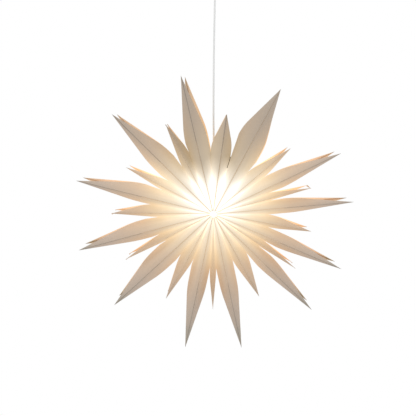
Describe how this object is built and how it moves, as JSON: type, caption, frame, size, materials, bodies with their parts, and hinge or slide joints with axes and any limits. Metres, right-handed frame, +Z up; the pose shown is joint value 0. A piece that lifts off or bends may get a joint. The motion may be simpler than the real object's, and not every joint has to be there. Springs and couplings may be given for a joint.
{
  "type": "folded paper star pendant light",
  "caption": "Hanging light shaped as a many-pointed star of folded white paper around a warm bulb, on a thin cord with a round ceiling cup.",
  "frame": {"origin": "on the ceiling plane, at the centre of the ceiling bracket", "axes": "+Z up, the star's front faces -Y, +X to the right as seen from the front"},
  "size_m": [0.5933, 0.112, 0.8326],
  "materials": {
    "paper": "matt white paper lit from inside",
    "hanger_wire": "dark drawn wire",
    "bracket_steel": "zinc plated",
    "cup_enamel": "satin white",
    "screw_steel": "bright",
    "grip_plastic": "satin white",
    "terminal_plastic": "natural nylon",
    "cord_sheath": "smooth white sheath",
    "live_insulation": "brown",
    "neutral_insulation": "blue",
    "holder_plastic": "white",
    "contact_ceramic": "unglazed",
    "contact_brass": "plain",
    "bulb_glass": "frosted, lit",
    "bulb_cap_metal": "rolled",
    "bulb_black_glass": "black",
    "stem_glass": "clear",
    "filament": "lit strand"
  },
  "bodies": {
    "ceiling": {"ceiling_bracket": "bracket_steel", "ceiling_cup": "cup_enamel", "cup_screw_right": "screw_steel", "cup_screw_left": "screw_steel", "cord_grip": "grip_plastic", "grip_screw": "screw_steel", "grip_nut": "bracket_steel", "terminal_block": "terminal_plastic", "cord_tail": "cord_sheath", "wire_live": "live_insulation", "wire_neutral": "neutral_insulation"},
    "hanging_cord": {"cord": "cord_sheath"},
    "lamp_holder": {"holder_shell": "holder_plastic", "holder_cap": "holder_plastic", "cord_gland": "grip_plastic", "contact_block": "contact_ceramic", "centre_contact": "contact_brass"},
    "ring": {"shade_ring": "holder_plastic"},
    "bulb": {"bulb_globe": "bulb_glass", "bulb_screw_cap": "bulb_cap_metal", "bulb_insulator": "bulb_black_glass", "bulb_tip": "contact_brass", "bulb_stem": "stem_glass", "bulb_filament": "filament"},
    "star": {"long_point_01": "paper", "short_point_01": "paper", "long_point_02": "paper", "short_point_02": "paper", "long_point_03": "paper", "short_point_03": "paper", "long_point_04": "paper", "short_point_04": "paper", "long_point_05": "paper", "short_point_05": "paper", "long_point_06": "paper", "short_point_06": "paper", "long_point_07": "paper", "short_point_07": "paper", "long_point_08": "paper", "short_point_08": "paper", "long_point_09": "paper", "short_point_09": "paper", "long_point_10": "paper", "short_point_10": "paper", "long_point_11": "paper", "short_point_11": "paper", "long_point_12": "paper", "short_point_12": "paper", "wire_hanger": "hanger_wire"}
  },
  "joints": [
    {"name": "cord_swing", "type": "hinge", "parent": "ceiling", "child": "hanging_cord", "pos_m": [0, 0, -0.054], "axis": [0, 1, 0], "range_deg": [-20, 20]},
    {"name": "cord_twist", "type": "hinge", "parent": "hanging_cord", "child": "lamp_holder", "pos_m": [-0.003, 0, -0.426], "axis": [0, 0, 1], "range_deg": [-150, 150]},
    {"name": "star_tilt", "type": "hinge", "parent": "lamp_holder", "child": "star", "pos_m": [-0.003, 0, -0.41748], "axis": [1, 0, 0], "range_deg": [-4, 4]},
    {"name": "bulb_turn", "type": "hinge", "parent": "lamp_holder", "child": "bulb", "pos_m": [-0.003, 0, -0.477], "axis": [0, 0, -1], "range_deg": [0, 340]},
    {"name": "ring_turn", "type": "hinge", "parent": "lamp_holder", "child": "ring", "pos_m": [-0.003, 0, -0.472], "axis": [0, 0, 1], "range_deg": [-170, 170]}
  ]
}
